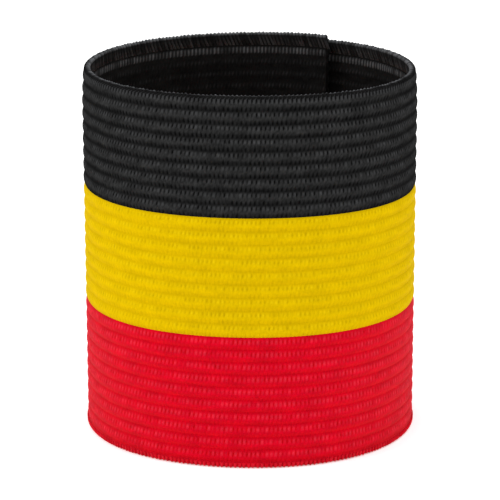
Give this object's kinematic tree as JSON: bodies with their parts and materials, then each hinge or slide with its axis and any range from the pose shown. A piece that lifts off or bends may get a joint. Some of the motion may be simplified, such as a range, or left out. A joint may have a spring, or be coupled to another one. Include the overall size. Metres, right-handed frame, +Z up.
{
  "type": "captain armband",
  "caption": "Wide ribbed elastic tape with woven bands of colour, wound into a ring that is worn on the upper arm and closed on itself at the back.",
  "frame": {"origin": "middle of the ring on the surface that its lower edge stands on", "axes": "+Z up along the ring's axis, the way the arm goes through; -Y is the front of the band, opposite the overlap"},
  "size_m": [0.0732, 0.0738, 0.0817],
  "materials": {
    "black_yarn": "matte ribbed elastic weave in black polyester yarn",
    "yellow_yarn": "matte ribbed elastic weave in yellow polyester yarn",
    "red_yarn": "matte ribbed elastic weave in red polyester yarn",
    "hook_and_loop": "black nylon hook and loop fastening, pressed together"
  },
  "bodies": {
    "root": {"elastic_tape": "black_yarn", "closure_patch": "hook_and_loop"}
  },
  "joints": []
}
